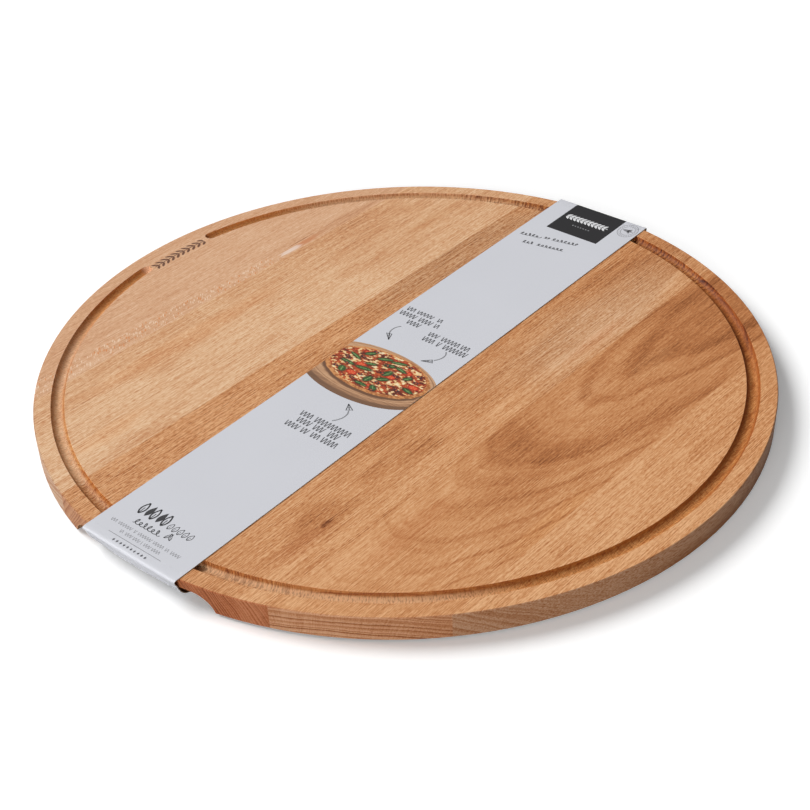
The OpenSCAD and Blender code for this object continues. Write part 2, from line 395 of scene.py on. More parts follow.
def beech(name, middle_y, heart, lean, tones, base, ring=0.1, broad=0.1, broad_mm=8.0, ring_mm=2.4,
          grain_share=1.0, flare_y=None, growth=(), bands=(), clouds=(), rim=0.0, tints=(), paint=(),
          wall=(238, 232, 230), foot=(), ear=False, seed=0):
    """Beech as a solid: growth rings are cylinders round the plank's heart, the rays are thin
    radial plates, and fibres run along the grain, so top, groove and edge show matching figure.

    heart is the heart's place across and up in mm at x = 0. lean is how far it moves per mm, with
    its sag per square mm as a third value. base is the tone, from 0 for the first of the four
    tones to 1 for the last. ring, broad and grain_share are the strengths of the years, of groups
    of years and of the fibres.

    These change the tone: growth, single years as distance from the heart, half width, change and
    the share of it that is left behind the heart; bands along the stave as middle, half width and
    change; clouds as x, y, half length, half width and change; rim, the change outside the groove.
    These change the colour: tints, which are clouds with a softness, then what they keep of red,
    green and blue, most of them the wood's own tone and the bluish ones at the right of staves 3, 4
    and 5 painted sheen; paint, clouds on the top face with a softness, a squareness, a share and a
    colour; the edge's tint, what the edge keeps, as painted shade and sheen; the foot's painted
    shade, low on the edge where it meets the table, as from x, to x, height and what it keeps."""
    made, tree = blank_material(name)
    seen = node(tree, "TexCoord")
    spot = board_place(tree, seen.outputs["Object"])
    _, _, depth, from_middle, _ = spot
    x, y, z = split(tree, in_mm(tree, seen.outputs["Object"], glue_line_turn))
    shifted = vector(tree, calc(tree, "ADD", x, seed * plank_offset), y, z)
    across, radius, angle = from_heart(tree, x, y, z, shifted, heart, lean)
    around = times(tree, angle, math.hypot(middle_y - heart[0], board_top - heart[1]))
    rings = year_rings(tree, radius, ring_mm)
    decades = grainy(tree, calc(tree, "ADD", calc(tree, "DIVIDE", radius, broad_mm), seed * 7.0),
                     rough=0.55)
    tick = pores(tree, (x, y, z), shifted)
    ray_line = grainy(tree, measured(tree, (x, around, radius), ray_size))
    line, fibre, streak, blotch = (
        grainy(tree, stretched(tree, shifted, *size), detail=detail, rough=rough)
        for *size, detail, rough in (hairlines, fibres, streaks, blotches))

    # on the grain's ends the rings and rays stand out, and the fibres show less
    end_grain = fade(tree, off(tree, split(tree, seen.outputs["Normal"])[0], 0.0), 0.25, 0.95)
    ring_depth = times(tree, rings, calc(tree, "MULTIPLY_ADD", end_grain, 0.58, ring))
    ray_tone = calc(tree, "MULTIPLY_ADD", ray_line, 0.45, 0.13)
    tone = calc(tree, "MULTIPLY_ADD", end_grain, ray_tone, calc(tree, "SUBTRACT", base, ring_depth))
    hair = times(tree, calc(tree, "MULTIPLY_ADD", line, 0.85, fibre),
                 calc(tree, "MULTIPLY_ADD", end_grain, -0.55, 1.0))
    for part, share in ((decades, broad), (tick, -0.12), (hair, 1.2 * grain_share), (streak, 0.15),
                        (blotch, 0.17)):
        tone = calc(tree, "MULTIPLY_ADD", part, share, tone)

    # years of dark growth, tone bands across the stave, then clouds and knots one by one
    for ring_at, half, change, share_behind in growth:
        dark = times(tree, fade(tree, off(tree, radius, ring_at), half * 0.2, half, 1.0, 0.0),
                     fade(tree, across, -38.0, -10.0, 1.0, share_behind))
        tone = calc(tree, "MULTIPLY_ADD", dark, change, tone)
    rough_x = calc(tree, "MULTIPLY_ADD", line, fray_x, x)
    rough_y = calc(tree, "MULTIPLY_ADD", streak, fray_y, y)
    for middle, half, change in bands:
        band = fade(tree, off(tree, rough_y, middle), half * 0.45, half, 1.0, 0.0)
        tone = calc(tree, "MULTIPLY_ADD", band, change, tone)

    def cloud(cloud_x, cloud_y, half_x, half_y, soft=0.75, square=2.0):
        """1 in the cloud and 0 outside it: its outline is an oval, squarer with a higher power, and
        frayed by the figure."""
        dx = calc(tree, "DIVIDE", off(tree, rough_x, cloud_x), half_x)
        dy = calc(tree, "DIVIDE", off(tree, rough_y, cloud_y), half_y)
        away = calc(tree, "POWER", calc(tree, "ADD", calc(tree, "POWER", dx, square),
                                        calc(tree, "POWER", dy, square)), 1.0 / square)
        away = calc(tree, "MULTIPLY_ADD", blotch, 1.2 * soft, away)
        return fade(tree, away, 1.0 - soft, 1.0, 1.0, 0.0)

    for *area, change in clouds:
        tone = calc(tree, "MULTIPLY_ADD", cloud(*area), change, tone)
    tone = calc(tree, "MULTIPLY_ADD", fade(tree, from_middle, *rim_radius), rim, tone)

    # the tone as a colour, then what changes the colour itself, from the top's patches to the edge
    colour = lay(tree, tone_ramp(tree, tone, tones), times(tree, tick, 0.22), linear(200, 120, 64))
    for *area, red, green, blue in tints:
        colour = lay(tree, colour, cloud(*area), (red, green, blue, 1.0), "MULTIPLY")
    skin = fade(tree, depth, *skin_depth)
    streaky = calc(tree, "MULTIPLY_ADD", line, 1.6, 0.9)
    for *area, share, screen in paint:
        amount = calc(tree, "MULTIPLY", times(tree, cloud(*area), skin, share), streaky, clamp=True)
        colour = lay(tree, colour, amount, linear(*screen))
    if flare_y is not None:
        colour = flare(tree, colour, x, y, z, rough_y, flare_y)
    colour, cut, torn_fibres = groove_look(tree, colour, spot)
    if ear:
        colour = burned_ear(tree, colour, spot, cut)
    colour = turned_edge(tree, colour, spot, x, wall, foot)

    height = calc(tree, "MULTIPLY_ADD", tick, -0.5, times(tree, fibre, 0.9))
    height = calc(tree, "MULTIPLY_ADD", torn_fibres, 6.0, height)
    bump = node(tree, "Bump", {"Strength": 0.35, "Distance": 0.12 * MM, "Height": height})
    surface(tree, {"Base Color": colour, "Roughness": fade(tree, tick, 0.0, 1.0, 0.58, 0.70),
                   "Specular IOR Level": 0.2, "Normal": bump.outputs[0]})
    return made


def dress(piece, material):
    """Gives a piece one material in place of those it came with."""
    piece.data.materials.clear()
    piece.data.materials.append(material)


def stave(number, **figure):
    """Dresses one stave in its own beech."""
    dress(cad_nodes[f"stave_{number}"], beech(f"beech_stave_{number}", seed=number, **figure))


pinkish = ((140, 84, 52), (192, 137, 98), (214, 166, 128), (230, 193, 160))
orange_tan = ((138, 78, 42), (194, 134, 90), (214, 164, 121), (232, 196, 158))
brown = ((110, 58, 28), (180, 115, 68), (207, 148, 99), (228, 178, 132))
# each stave's edge tint is painted shade and sheen, and stave 6's foot is painted shade where its edge
# meets the table
stave(1, middle_y=175, heart=(60, 30), lean=(0.01, 0.02, 0.0), tones=pinkish, base=0.75, ring=0.05,
      broad=0.08, grain_share=0.8, flare_y=147.0, rim=-0.06, ear=True,
      clouds=((106, 146, 46, 6.0, -0.14), (62, 150.1, 20, 0.9, -0.5), (104, 150.2, 40, 0.7, -0.2),
              (48, 154, 40, 5, -0.1)),
      paint=((63, 145.8, 17, 3.6, 0.7, 3.0, 1.0, (202, 134, 92)),
             (51.0, 145.6, 10.5, 2.9, 0.3, 5.0, 0.8, (236, 214, 199))))
stave(2, middle_y=102, heart=(40, -60), lean=(0.0, 0.05, 0.0), tones=orange_tan, base=0.83, ring=0.03,
      broad=0.05, grain_share=1.15, wall=(215, 213, 219), bands=((128, 20, -0.1),),
      clouds=((120, 100, 90, 60, -0.12), (90, 139, 80, 12, -0.16), (-90, 112, 50, 10, -0.06),
              (195, 80, 50, 40, -0.1), (-30, 140, 80, 8, -0.08), (-160, 67, 70, 8, -0.14)),
      tints=((142, 98, 36, 10, 0.6, 0.94, 0.88, 0.82), (-70, 121, 100, 11, 0.6, 1.0, 0.94, 0.88),
             (-160, 84, 40, 7, 0.6, 1.0, 0.94, 0.88)))
# the bluish tints at the right of staves 3, 4 and 5 are painted sheen on the wood
stave(3, middle_y=25, heart=(-30, -70), lean=(0.0, -0.03, 0.0), tones=brown, base=0.675, ring=0.04,
      broad=0.08, grain_share=1.5, wall=(216, 210, 216),
      tints=((130, 48, 130, 34, 0.7, 0.88, 0.94, 1.04),))
stave(4, middle_y=-60, heart=(70, -70), lean=(0.04, -0.03, 0.0), tones=brown, base=0.67, ring=0.12,
      broad=0.2, ring_mm=1.5, grain_share=1.15, wall=(208, 175, 165), bands=((-78, 9, 0.13),),
      clouds=((-140, -64, 34, 12, -0.16), (-139, -66, 5, 1.6, -0.4), (-62, -62, 26, 9, -0.14),
              (-90, -58, 20, 8, -0.12), (-70, -40, 40, 10, -0.1), (-140, -50, 80, 20, 0.07),
              (150, -44, 54, 15, -0.16), (200, -60, 40, 40, -0.12), (-200, -84, 46, 20, 0.1),
              (95, -68, 60, 14, 0.08)),
      tints=((110, -66, 130, 34, 0.7, 0.97, 1.08, 1.26), (-160, -68, 26, 7, 0.6, 0.95, 0.9, 0.88),
             (90, -77, 40, 7, 0.6, 1.0, 0.93, 0.89)))
stave(5, middle_y=-122, heart=(-110, -110), lean=(-0.05, 0.08, -0.0002), tones=brown, base=0.625,
      ring=0.1, broad=0.2, broad_mm=3.0, ring_mm=2.2, grain_share=0.8, wall=(230, 226, 237),
      growth=((128.0, 1.7, -0.14, 1.0), (129.3, 0.5, -0.14, 1.0), (123.5, 0.6, -0.22, 0.8),
              (120.9, 1.1, -0.2, 0.8), (142.4, 0.7, -0.18, 0.0), (138.0, 0.4, -0.14, 0.0),
              (147.0, 0.6, -0.14, 0.0), (134.0, 0.5, -0.12, 0.0)),
      clouds=((-18, -110, 26, 30, -0.12), (160, -118, 70, 52, -0.2), (-60, -124, 40, 26, -0.06),
              (-120, -92, 110, 18, 0.12), (-170, -110, 60, 50, 0.12), (-120, -145, 60, 30, 0.1)),
      tints=((-110, -105, 44, 9, 0.6, 0.95, 0.89, 0.85), (40, -104, 26, 8, 0.6, 1.06, 1.12, 1.2),
             (90, -117, 26, 8, 0.6, 1.08, 1.16, 1.24), (-60, -158, 40, 9, 0.6, 1.1, 1.14, 1.14)))
stave(6, middle_y=-185, heart=(-110, -60), lean=(0.0, 0.06, 0.0), tones=brown, base=0.80, ring=0.08,
      broad=0.1, ring_mm=2.8, grain_share=1.1, wall=(206, 205, 217),
      foot=(-85, -20, 9, 206, 178, 138), clouds=((110, -185, 130, 70, -0.1),))

# Card sleeve. One strip of coated card, printed pale grey, creased round the board's rim and tucked
# in under the lip of the finger grips, its two ends lapped and taped underneath.

card_t = 0.5
sleeve_low, sleeve_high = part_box("card_sleeve")
sleeve_y0, sleeve_y1 = sleeve_low.y / MM, sleeve_high.y / MM
card_top = sleeve_high.z / MM
card_low_z = card_t / 2
card_flap_z = board_bottom - card_t / 2
lap_half = 10.0
lap_run = 3.0
join_step = 2.0
edge_ease = 0.06
top_steps, under_steps, lap_steps, fold_steps = 90, 20, 12, 7
# the fold at the middle of the width: distance from the middle, height over the table, and how
# much of the rim's roundness the card follows there
fold = np.array([
    (215.5, 16.45, 0.0), (218.4, 16.45, 0.0), (220.1, 16.15, 0.0), (220.6, 15.30, 0.10),
    (220.6, 14.20, 0.25), (220.45, 12.80, 0.50), (220.32, 11.40, 0.66), (220.2, 10.70, 0.66),
    (219.5, 9.90, 0.55), (218.6, 8.80, 0.42), (217.6, 7.40, 0.27), (215.0, 4.90, 0.17),
    (212.2, 3.60, 0.12), (208.0, 2.10, 0.10), (203.0, 1.00, 0.05), (199.0, 0.45, 0.0),
    (195.0, 0.25, 0.0), (191.0, 0.25, 0.0)])


def smooth_path(points, steps):
    """A curve of cubic spans that passes every point but the first and last. Its slope at a point
    is that of the chord between the point's neighbours, and each span has the same steps."""
    p = np.asarray(points, float)
    t = (np.arange(steps) / steps)[None, :, None]
    a, b, c, d = p[:-3, None], p[1:-2, None], p[2:-1, None], p[3:, None]
    curve = b + 0.5 * t * (c - a + t * (2 * a - 5 * b + 4 * c - d + t * (3 * (b - c) + d - a)))
    return np.vstack([curve.reshape(-1, p.shape[1]), p[-2]])


def grid_mesh(name, points, uv=None):
    """A mesh of quads over a grid of points, rows by columns."""
    rows, columns = points.shape[:2]
    index = np.arange(rows * columns).reshape(rows, columns)
    corners = (index[:-1, :-1], index[1:, :-1], index[1:, 1:], index[:-1, 1:])
    quads = np.stack(corners, -1).reshape(-1, 4)
    mesh = bpy.data.meshes.new(name)
    mesh.from_pydata((points.reshape(-1, 3) * MM).tolist(), [], quads.tolist())
    if uv is not None:
        layer = mesh.uv_layers.new(name="along")
        layer.data.foreach_set("uv", uv.reshape(-1, 2)[quads.ravel()].ravel())
    mesh.update()
    piece = bpy.data.objects.new(name, mesh)
    bpy.context.scene.collection.objects.link(piece)
    return piece


def level(x0, x1, z, count):
    """A level run of the card's path: points from x0 to x1 at one height, with no roundness."""
    x = np.linspace(x0, x1, count)
    return np.stack([x, np.full(count, z), np.zeros(count)], 1)


def sleeve_surface(across_steps=37):
    """The card's middle surface and its print's place: a closed path in x and z, carried across
    the width. Where the path has a share of roundness, x draws in by that share of the rim's own
    recess at that y. The print is measured along the path, from the middle of the top."""
    right = smooth_path(fold, fold_steps)[::-1]
    left = right[::-1] * (-1, 1, 1)
    fold_end_x, top_x, top_z = right[0, 0], right[-1, 0], right[-1, 1]
    lap_end_x = -lap_half - card_t
    path = np.vstack([
        level(-lap_half, fold_end_x - join_step, card_low_z, under_steps), right,
        level(top_x, -top_x, top_z, top_steps)[1:-1], left,
        level(join_step - fold_end_x, lap_end_x - lap_run, card_low_z, under_steps),
        level(lap_end_x - lap_run / 2, lap_end_x - lap_run / 2, (card_low_z + card_flap_z) / 2, 1),
        level(lap_end_x, lap_half, card_flap_z, lap_steps)])
    y = np.linspace(sleeve_y1, sleeve_y0, across_steps)
    recess = board_radius - np.sqrt(board_radius ** 2 - y ** 2)
    x = path[:, :1] - np.sign(path[:, :1]) * path[:, 2:] * recess
    length = np.hypot(*np.diff(path[:, :2], axis=0).T)
    u = np.concatenate([[0], np.cumsum(length)])
    middle = under_steps + len(right) + (top_steps - 2) // 2
    u = (u[middle] - u)[:, None] + 0 * y
    points = np.stack([x, path[:, 1:2] + 0 * y, 0 * x + y], -1)[..., [0, 2, 1]]
    return points, np.stack([u * MM, (0 * u + y) * MM], -1)


card_points, card_uv = sleeve_surface()
sleeve = grid_mesh("printed_sleeve", card_points, card_uv)
sleeve.data.polygons.foreach_set("use_smooth", np.ones(len(sleeve.data.polygons), bool))
thick = sleeve.modifiers.new("card thickness", "SOLIDIFY")
thick.thickness = card_t * MM
thick.offset = 0
thick.material_offset = 1
thick.material_offset_rim = 1
cut_edge = sleeve.modifiers.new("cut edge", "BEVEL")
cut_edge.width = edge_ease * MM
cut_edge.segments = 1
cut_edge.limit_method = "ANGLE"
cut_edge.angle_limit = math.radians(60)
cut_edge.harden_normals = True

card_grey = (208, 209, 215)
card_brown = (148, 124, 100)
plate_grey = (44, 43, 45)
# the dark plate's ends along the card, from the middle of its top, and its sides across it
plate_u0, plate_u1, plate_v0, plate_v1 = 184.2, 250.0, -16.9, 23.3


def shaded(tree, colour, tone):
    """A colour made lighter or darker by a tone about 1."""
    return node(tree, "VectorMath", {0: colour, 1: vector(tree, tone, tone, tone)},
                operation="MULTIPLY").outputs[0]


def coated_card(name, printed):
    """Card with a faint fibre, printed pale grey with a dark plate at one end, or left brown."""
    made, tree = blank_material(name)
    place = node(tree, "TexCoord")
    grain = in_mm(tree, place.outputs["Object"])
    fibre = grainy(tree, grain, scale=2.2, detail=4.0, rough=0.65)
    cloudy = grainy(tree, grain, scale=0.02)
    tone = calc(tree, "MULTIPLY_ADD", cloudy, 0.05, calc(tree, "MULTIPLY_ADD", fibre, 0.035, 1.0))
    colour = linear(*(card_grey if printed else card_brown))
    if printed:
        u, v, _ = split(tree, in_mm(tree, place.outputs["UV"]))
        plate = times(
            tree, calc(tree, "GREATER_THAN", u, plate_u0), calc(tree, "LESS_THAN", u, plate_u1),
            calc(tree, "GREATER_THAN", v, plate_v0), calc(tree, "LESS_THAN", v, plate_v1))
        colour = lay(tree, colour, plate, linear(*plate_grey))
    else:
        colour = colour[:3]
    bump = node(tree, "Bump", {"Strength": 0.12, "Distance": 0.03 * MM, "Height": fibre})
    surface(tree, {"Base Color": shaded(tree, colour, tone), "Roughness": 0.55 if printed else 0.8,
                   "Specular IOR Level": 0.3, "Normal": bump.outputs[0]})
    return made


sleeve.data.materials.append(coated_card("printed_card", True))
sleeve.data.materials.append(coated_card("bare_card", False))
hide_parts("card_sleeve")
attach(sleeve, "sleeve")

# Adhesive strip. A strip of double-sided tissue tape between the sleeve's lapped ends, whose edges
# show as a yellowish line.


def plain(name, screen, roughness):
    """A matt finish with a faint cloudiness in its colour."""
    made, tree = blank_material(name)
    cloudy = grainy(tree, in_mm(tree, node(tree, "TexCoord").outputs["Object"]), 1.5, 3.0)
    tone = calc(tree, "MULTIPLY_ADD", cloudy, 0.08, 1.0)
    surface(tree, {"Base Color": shaded(tree, linear(*screen)[:3], tone), "Roughness": roughness})
    return made


dress(cad_nodes["seam_adhesive_strip"], plain("adhesive_tissue", (231, 222, 192), 0.6))

# Printed ornaments. Flat ink on the card in five greys: leaves, hatched bars, bent arrows, pen loops
# and a seal. They are plain ornaments, printed in one pass with the card's pale grey ground.

ink_height = card_top + 0.02
ink_t = 0.012
bar_pitch, bar_stroke = 1.25, 0.62
fine_h, fine_pitch, fine_stroke = 2.2, 0.85, 0.3
seal_middle, seal_half_x, seal_half_y = (209.0, -24.8), 8.8, 6.5
slanted_line_turn = 11


def ribbon(path, width):
    """A flat band along a path: two points for each of the path's, half the width to either side."""
    path = np.asarray(path, float)
    way = np.gradient(path, axis=0)
    way /= np.hypot(*way.T)[:, None]
    aside = np.stack([-way[:, 1], way[:, 0]], 1) * np.reshape(width, (-1, 1)) / 2
    return np.stack([path + aside, path - aside], 1)


def leaf(root, turn, length, width, stroke=0.0, steps=10):
    """A leaf from root along turn, in degrees: its edges are half waves of the sine. It is solid,
    or drawn as an outline and a vein where a stroke is given."""
    t = np.linspace(0, 1, steps)
    way = np.array([math.cos(math.radians(turn)), math.sin(math.radians(turn))])
    spine = np.asarray(root, float) + t[:, None] * length * way
    swell = np.sin(math.pi * t ** 0.85) * width
    if not stroke:
        return [ribbon(spine, swell + 0.03)]
    aside = swell[:, None] / 2 * np.array([-way[1], way[0]])
    return [ribbon(spine + aside, stroke), ribbon(spine - aside, stroke),
            ribbon(spine[: steps * 2 // 3], stroke * 0.6)]


def garland(length, pitch, leaf_l, leaf_w, stem, slant=50):
    """A stem along the first axis with a pair of leaves at every pitch."""
    made = [ribbon([(0, 0), (length, 0)], stem)]
    for at in np.arange(0, length - leaf_l * 0.5, pitch):
        made += leaf((at, 0), slant, leaf_l, leaf_w) + leaf((at, 0), -slant, leaf_l, leaf_w)
    return made


def hatch(spans, height, pitch, stroke):
    """Upright strokes that lean by turns to either side, over each span from start to end."""
    made = []
    for start, end in spans:
        for i, at in enumerate(np.arange(start, end, pitch)):
            lean = pitch * (0.35 if i % 2 else -0.35)
            lift = 0.06 * height * math.sin(5.0 * at)
            made.append(ribbon([(at - lean, lift), (at + lean, height - lift)], stroke))
    return made


def bend(a, b, c, d, steps=18):
    """A cubic curve from a to d, drawn towards b and c on its way."""
    t = np.linspace(0, 1, steps)[:, None]
    a, b, c, d = (np.asarray(v, float) for v in (a, b, c, d))
    return (1 - t) ** 3 * a + 3 * (1 - t) ** 2 * t * b + 3 * (1 - t) * t ** 2 * c + t ** 3 * d


def pen_loops(length, wave, low, tall):
    """A looping pen line: a point goes round a small circle while the circle rolls along, and
    every third loop is tall."""
    t = np.linspace(0, length / wave * 2 * math.pi, int(length / wave * 22))
    size = low + (tall - low) * np.clip(np.cos(t / 3), 0, 1) ** 2
    line = np.stack([wave * (t / (2 * math.pi) + 0.42 * np.sin(t)), size * (1 - np.cos(t)) / 2], 1)
    return [ribbon(line, 0.42 + 0.22 * np.abs(np.sin(t / 2)))]


def on_card(strips, x, y, turn=0.0):
    """Moves strips onto the card: their first axis runs towards -Y and their second towards +X."""
    c, s = math.cos(math.radians(turn)), math.sin(math.radians(turn))
    to_card = np.array([[s, -c], [c, s]])
    return [strip @ to_card + (x, y) for strip in strips]


def placed(*items):
    """Moves each item, which is strips, an x and a y and perhaps a turn, onto the card."""
    return [strip for item in items for strip in on_card(*item)]


def film(piece):
    """Gives a sheet of ink its thickness, downwards, and fixes it to the sleeve."""
    thickness = piece.modifiers.new("film", "SOLIDIFY")
    thickness.thickness, thickness.offset = ink_t * MM, -1
    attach(piece, "sleeve")


def ink_piece(name, screen, strips):
    """All strips of one ink as one mesh, with a quad between each pair of points and the next."""
    starts = np.cumsum([0] + [2 * len(strip) for strip in strips])
    left = np.concatenate([start + 2 * np.arange(len(strip) - 1)
                           for start, strip in zip(starts, strips)])
    flat = np.vstack([strip.reshape(-1, 2) for strip in strips])
    mesh = bpy.data.meshes.new(name)
    mesh.from_pydata((np.column_stack([flat, np.full(len(flat), ink_height)]) * MM).tolist(), [],
                     np.stack([left, left + 1, left + 3, left + 2], 1).tolist())
    piece = bpy.data.objects.new(name, mesh)
    bpy.context.scene.collection.objects.link(piece)
    mesh.materials.append(plain(name, screen, 0.5))
    film(piece)


tall_leaves, small_leaves, diamonds, plate_dots = [], [], [], []
for step in range(5):
    lean, stroke = (84, 0.0) if step % 2 else (90, 0.95)
    tall_leaves += leaf((4.3 * step, 0.2 * (step % 2)), lean, 9.4, 3.4, stroke)
    small_leaves += leaf((3.7 * step, 0), 78, 5.2, 2.6, 0.42)
for step in range(10):
    diamonds += leaf((2.65 * step, 0), 90, 2.0, 1.5, steps=3)
for step in range(7):
    plate_dots += leaf((2.1 * step, 0), 0, 1.3, 1.1, steps=4)
crossed_leaves = leaf((0, 0), 60, 5.6, 1.6, 0.4) + leaf((4.2, 0), 120, 5.6, 1.6, 0.4)
side_leaves = leaf((4, 0), 55, 3.8, 1.8) + leaf((4, 0), -55, 3.8, 1.8)

# bent arrows, in the card's own x and y: a head's tip and two corners, a shaft's four bend points
arrow_heads = []
for tip, one, other in (((10.6, 20.9), (15.8, 26.8), (16.9, 23.4)),
                        ((4.6, -9.4), (9.6, -14.6), (7.0, -16.6)),
                        ((-54.4, -3.4), (-57.8, -9.5), (-60.2, -6.3))):
    tip, one, other = np.array(tip), np.array(one), np.array(other)
    for share in (0.0, 0.5, 1.0):
        arrow_heads.append(ribbon([tip, one + share * (other - one)], 0.55))
    for share in (0.6, 0.95):
        arrow_heads.append(ribbon([tip + share * (one - tip), tip + share * (other - tip)], 0.4))
arrow_shafts = [ribbon(bend(*points), 0.85) for points in (
    ((26.6, 24.0), (24.0, 27.0), (18.5, 27.3), (14.8, 23.9)),
    ((20.9, -15.8), (17.9, -19.0), (13.0, -18.6), (9.4, -15.4)),
    ((-72.4, -6.4), (-68.5, -10.2), (-63.0, -10.8), (-59.5, -7.8)))]

# a seal of two oval rings, with short ticks between them
ring_turns = np.linspace(0, 2 * math.pi, 49)
seal_ring = np.stack([seal_half_x * np.cos(ring_turns), seal_half_y * np.sin(ring_turns)], 1)
seal = [ribbon(seal_ring * size, 0.34) + seal_middle for size in (1.0, 0.7)]
for spoke in seal_ring[:-1:2]:
    aside = spoke[::-1] * (-0.02, 0.02)
    seal.append(np.array([[spoke * share + aside, spoke * share - aside] for share in (0.78, 0.92)])
                + seal_middle)

# rows of hatched bars: the spans of a row, its height, and its place on the card
bar_rows = (
    (((0, 5.5), (8, 20), (24, 27)), 4.2, 43.5, 33.6),
    (((0, 12), (15, 24), (27, 30)), 4.4, 37.4, 34.6),
    (((0, 9),), 4.4, 31.3, 24.1),
    (((0, 7.5), (10, 23), (25, 31)), 4.2, 28.5, 4.6),
    (((0, 8.5), (11, 13.5), (16, 33)), 4.5, 22.4, 4.6),
    (((0, 8), (11, 36.5)), 4.4, -79.0, 12.6),
    (((0, 9.5), (12.5, 19.5), (23.5, 31)), 4.6, -84.9, 10.1),
    (((0, 9), (12, 16.5), (19.5, 25), (27.5, 38.5)), 4.4, -91.0, 13.6))
fine_rows = (
    (((0, 4), (5.5, 15.5), (17.5, 19), (20.5, 30.5), (32, 39.5), (41, 43.5), (45, 51)), -207.4, 29.6),
    (((0, 2.5), (4, 8.5), (10, 14.5), (16, 16.8), (18, 22.5), (24, 29.5)), -211.5, 18.4))
# pen loops: length, wave, low and tall size, and their place on the card
slanted_loops = (
    (14.5, 2.7, 2.2, 5.0, 163.2, 32.3), (4.0, 2.2, 2.0, 2.6, 167.6, 15.6),
    (18.5, 2.7, 2.2, 4.4, 168.4, 9.8), (8.0, 2.7, 2.2, 5.0, 154.8, 24.6),
    (19.0, 2.7, 2.0, 3.4, 156.9, 14.2))

ink_piece("dark_print", (52, 51, 54), placed(
    (tall_leaves, -195.0, 22.0), (small_leaves, -194.8, 0.2),
    (pen_loops(19.0, 3.1, 2.6, 6.0), -201.8, 18.8), (crossed_leaves, -200.6, -3.6),
    *((pen_loops(*sizes), x, y, slanted_line_turn) for *sizes, x, y in slanted_loops)))
ink_piece("middle_print", (84, 84, 88), placed(
    *((hatch(spans, height, bar_pitch, bar_stroke), x, y) for spans, height, x, y in bar_rows),
    (diamonds, -218.1, 16.3)) + arrow_heads)
ink_piece("fine_print", (134, 134, 138), placed(
    *((hatch(spans, fine_h, fine_pitch, fine_stroke), x, y) for spans, x, y in fine_rows),
    ([ribbon([(0, 0), (39.6, 0)], 0.34)], -214.0, 23.8),
    (leaf((0, 0), 0, 8.0, 3.0) + side_leaves, 209.0, -20.8)) + seal + arrow_shafts)
ink_piece("pale_print", (226, 226, 228), placed((garland(33.0, 2.9, 4.6, 1.9, 0.7), 202.6, 20.4)))
ink_piece("plate_dots", (150, 150, 153), placed((plate_dots, 193.6, 10.2)))

# Printed food picture. A baked flatbread on a round board, printed across the card and cut off by
# its edges. It is painted here in layers, point by point, into the mesh's own colours.

dish_x, dish_y = -21.4, 7.3
dish_half_x, dish_half_y = 23.4, 46.0
dish_side = 6.8
bread_x, bread_y = -19.9, 4.4
bread_half_x, bread_half_y = 20.4, 37.4
tomatoes, leaves, olives = 8, 17, 16
tomato_r, olive_r = 3.8, 1.9
# how flat a level circle looks in the picture
flatten = 0.52
# after how many corners the picture's noise repeats, across and along
noise_repeat_a, noise_repeat_b = 61, 67


def value_noise(a, b, seed):
    """Smooth noise from 0 to 1: random values at whole-number corners, blended in between."""
    table = np.random.default_rng(seed).random((noise_repeat_a, noise_repeat_b))
    ia, ib = np.floor(a).astype(int), np.floor(b).astype(int)
    fa, fb = a - ia, b - ib
    fa, fb = fa * fa * (3 - 2 * fa), fb * fb * (3 - 2 * fb)

    def corner(i, j):
        return table[i % noise_repeat_a, j % noise_repeat_b]

    return ((corner(ia, ib) * (1 - fa) + corner(ia + 1, ib) * fa) * (1 - fb)
            + (corner(ia, ib + 1) * (1 - fa) + corner(ia + 1, ib + 1) * fa) * fb)


def step_up(value, low, high):
    """0 below low, 1 above high, smooth between."""
    t = np.clip((value - low) / (high - low), 0, 1)
    return t * t * (3 - 2 * t)


